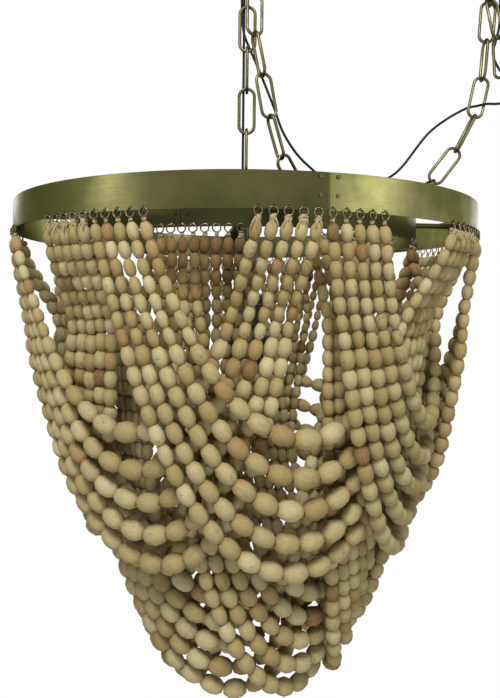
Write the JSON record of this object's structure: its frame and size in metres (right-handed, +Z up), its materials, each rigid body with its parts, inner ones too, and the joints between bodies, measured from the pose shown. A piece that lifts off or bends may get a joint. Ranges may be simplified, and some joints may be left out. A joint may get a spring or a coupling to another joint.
{
  "type": "chandelier",
  "caption": "Hanging chandelier: a wide and a smaller flat metal ring on spokes, both hung with crossing swags of wooden beads, on a chain with a slack chain and cord to a side ceiling cup.",
  "frame": {"origin": "centre of the top face of the ceiling hook's plate, on the rings' axis, where the chandelier hangs from the ceiling", "axes": "+Z up to the ceiling; +X to the picture's right, towards the side ceiling cup; -Y to the picture's viewer"},
  "size_m": [0.5962, 0.5044, 0.8217],
  "materials": {
    "beads": "raw turned wood beads with open grain, knotted at the ends with jute",
    "band_brass": "antique brass, brushed round the band, satin and slightly green",
    "dark_brass": "antique brass, darker and duller, satin",
    "chain_brass": "antique brass, bronze tone, satin",
    "lamp_black": "matt black",
    "cord_black": "black textile covered cord",
    "porcelain": "white glazed ceramic insert",
    "socket_metal": "bright stamped brass"
  },
  "bodies": {
    "ceiling_fixings": {"hook_plate": "chain_brass", "ceiling_hook": "chain_brass", "ceiling_cup": "chain_brass", "cup_hook": "chain_brass", "cup_nut": "chain_brass", "cup_cord_grip": "lamp_black", "swag_chain": "chain_brass", "spare_chain": "chain_brass", "cord_swag": "cord_black"},
    "top_link": {"quick_link": "chain_brass", "quick_link_sleeve": "chain_brass", "cord_top": "cord_black"},
    "load_chain": {"load_link_1": "chain_brass", "load_link_2": "chain_brass", "load_link_3": "chain_brass", "load_link_4": "chain_brass", "cord_riser": "cord_black"},
    "chandelier": {"outer_swag_1": "beads", "outer_swag_2": "beads", "outer_swag_3": "beads", "outer_swag_4": "beads", "outer_swag_5": "beads", "outer_swag_6": "beads", "outer_swag_7": "beads", "outer_swag_8": "beads", "inner_swag_1": "beads", "inner_swag_2": "beads", "inner_swag_3": "beads", "inner_swag_4": "beads", "inner_swag_5": "beads", "inner_swag_6": "beads", "inner_swag_7": "beads", "inner_swag_8": "beads", "outer_band": "band_brass", "inner_band": "dark_brass", "outer_seam_plate": "dark_brass", "inner_seam_plate": "dark_brass", "spoke_1": "dark_brass", "spoke_2": "dark_brass", "spoke_3": "dark_brass", "spoke_4": "dark_brass", "hub_top_plate": "dark_brass", "hub_bottom_plate": "dark_brass", "hub_eye": "dark_brass", "hub_nut": "dark_brass", "stem_pipe": "dark_brass", "stem_lock_nut": "dark_brass", "hub_cord_grip": "lamp_black", "lamp_cap": "lamp_black", "lamp_body": "lamp_black", "shade_ring": "lamp_black", "cord_hub": "cord_black", "socket_insert": "porcelain", "socket_shell": "socket_metal", "socket_contact": "socket_metal"}
  },
  "joints": [
    {"name": "front_back_swing", "type": "hinge", "parent": "ceiling_fixings", "child": "top_link", "pos_m": [0, 0, -0.0386], "axis": [1, 0, 0], "range_deg": [-3, 4]},
    {"name": "side_swing", "type": "hinge", "parent": "top_link", "child": "load_chain", "pos_m": [0, 0, -0.0931], "axis": [0, 1, 0], "range_deg": [-3, 3]},
    {"name": "ring_twist", "type": "hinge", "parent": "load_chain", "child": "chandelier", "pos_m": [0, 0, -0.2775], "axis": [0, 0, 1], "range_deg": [-5, 30]}
  ]
}
